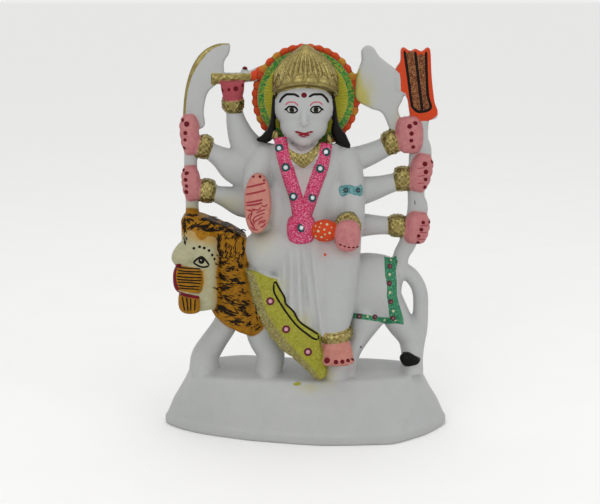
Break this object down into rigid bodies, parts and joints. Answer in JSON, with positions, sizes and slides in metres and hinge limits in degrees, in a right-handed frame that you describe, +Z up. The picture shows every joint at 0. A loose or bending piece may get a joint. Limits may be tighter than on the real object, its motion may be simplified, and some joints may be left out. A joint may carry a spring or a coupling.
{
  "type": "painted figure",
  "caption": "Seated multi-armed goddess figure on a lion, cast in one piece with its boat-shaped plinth and painted by hand, with small glued stones.",
  "frame": {"origin": "middle of the plinth's underside, on the surface the figure stands on", "axes": "+Z up along the figure, the goddess faces -Y, +X to the viewer's right"},
  "size_m": [0.1492, 0.0608, 0.2],
  "materials": {
    "casting": "cast marble dust, polished, painted by hand",
    "clear_stone": "cut glass",
    "rose_stone": "cut glass",
    "dark_stone": "cut glass",
    "garnet_stone": "cut glass"
  },
  "bodies": {
    "root": {"durga_lion_and_plinth": "casting", "garland_stone_1": "clear_stone", "garland_stone_2": "clear_stone", "garland_stone_3": "clear_stone", "garland_stone_4": "clear_stone", "garland_stone_5": "clear_stone", "garland_stone_6": "clear_stone", "garland_stone_7": "clear_stone", "sash_stone_1": "rose_stone", "sash_stone_2": "rose_stone", "sash_stone_3": "rose_stone", "armband_stone_1": "dark_stone", "armband_stone_2": "dark_stone", "saddle_stone_1": "garnet_stone", "saddle_stone_2": "garnet_stone", "saddle_stone_3": "garnet_stone", "saddle_stone_4": "garnet_stone", "saddle_stone_5": "garnet_stone", "saddle_stone_6": "garnet_stone"}
  },
  "joints": []
}
